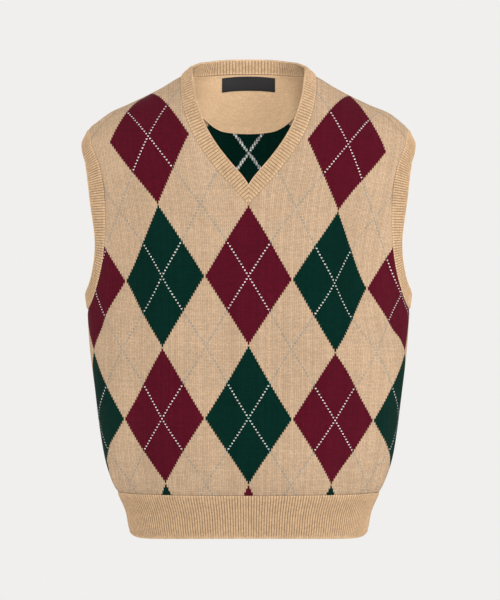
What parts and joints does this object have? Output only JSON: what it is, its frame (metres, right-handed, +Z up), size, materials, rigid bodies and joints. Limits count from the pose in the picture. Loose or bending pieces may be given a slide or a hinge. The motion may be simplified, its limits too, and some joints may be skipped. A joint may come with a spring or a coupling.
{
  "type": "argyle sweater vest, filled out as worn",
  "caption": "Hollow knitted V-neck sweater vest without sleeves, with ribbed neck, armholes and hem and an argyle pattern, standing open as if worn.",
  "frame": {"origin": "between the two points where the shoulder seams meet the neck seam, where the wearer's shoulders hold the garment", "axes": "+X to the wearer's left, +Y to the back, +Z up"},
  "size_m": [0.4656, 0.2312, 0.6666],
  "materials": {
    "argyle_knit": "matte jacquard jersey in tan, maroon and dark green with dotted white lines",
    "tan_rib": "matte 1x1 rib in tan",
    "tan_jersey": "matte plain jersey in tan",
    "label_satin": "fine black woven satin"
  },
  "bodies": {
    "root": {"front_panel": "argyle_knit", "back_panel": "argyle_knit", "front_hem_rib": "tan_rib", "back_hem_rib": "tan_rib", "neck_band": "tan_rib", "left_armhole_band": "tan_rib", "right_armhole_band": "tan_rib", "neck_facing": "tan_jersey", "woven_label": "label_satin"}
  },
  "joints": []
}
